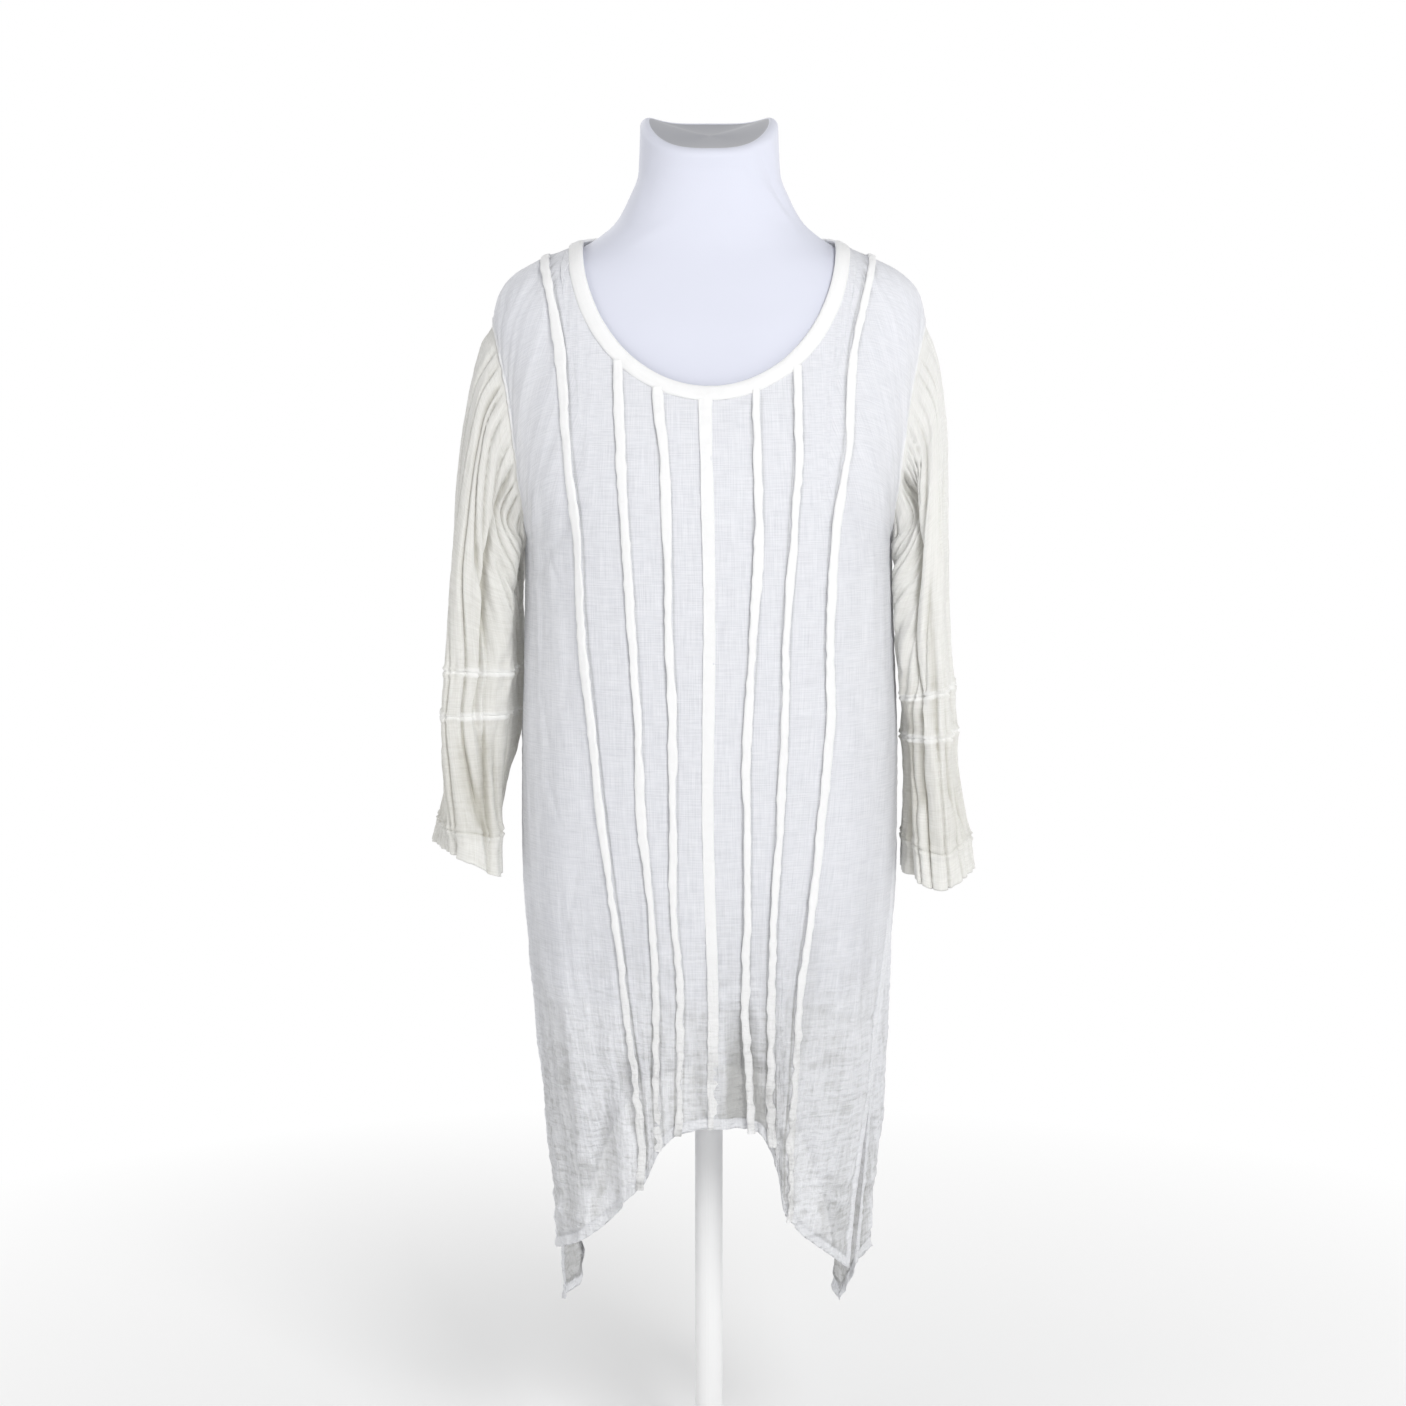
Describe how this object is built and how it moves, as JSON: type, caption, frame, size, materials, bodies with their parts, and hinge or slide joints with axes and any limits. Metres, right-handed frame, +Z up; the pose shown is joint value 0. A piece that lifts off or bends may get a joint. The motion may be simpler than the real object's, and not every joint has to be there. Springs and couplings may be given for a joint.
{
  "type": "tunic top on dress form",
  "caption": "Loose crinkled gauze tunic top with a scoop neck, three-quarter sleeves, raised tucks, side slits and a handkerchief hem, worn by a limbless dress form on a stand.",
  "frame": {"origin": "centre of the round base's underside, on the floor", "axes": "+Z up, -Y the garment's front, +X the wearer's left"},
  "size_m": [0.4844, 0.28, 1.2358],
  "materials": {
    "gauze": "white crinkled sheer gauze",
    "jersey": "smooth pale jersey over a padded form",
    "steel": "satin white"
  },
  "bodies": {
    "root": {"front_left": "gauze", "front_right": "gauze", "back": "gauze", "centre_front_seam": "gauze", "tuck_left_1": "gauze", "tuck_left_2": "gauze", "tuck_left_3": "gauze", "tuck_right_1": "gauze", "tuck_right_2": "gauze", "tuck_right_3": "gauze", "back_tuck_left_1": "gauze", "back_tuck_left_2": "gauze", "back_tuck_left_3": "gauze", "back_tuck_right_1": "gauze", "back_tuck_right_2": "gauze", "back_tuck_right_3": "gauze", "neck_binding": "gauze", "sleeve_left_upper": "gauze", "sleeve_left_band": "gauze", "sleeve_left_lower": "gauze", "sleeve_left_cuff": "gauze", "sleeve_right_upper": "gauze", "sleeve_right_band": "gauze", "sleeve_right_lower": "gauze", "sleeve_right_cuff": "gauze", "form_torso": "jersey", "stand_pole": "steel", "stand_base": "steel"}
  },
  "joints": []
}
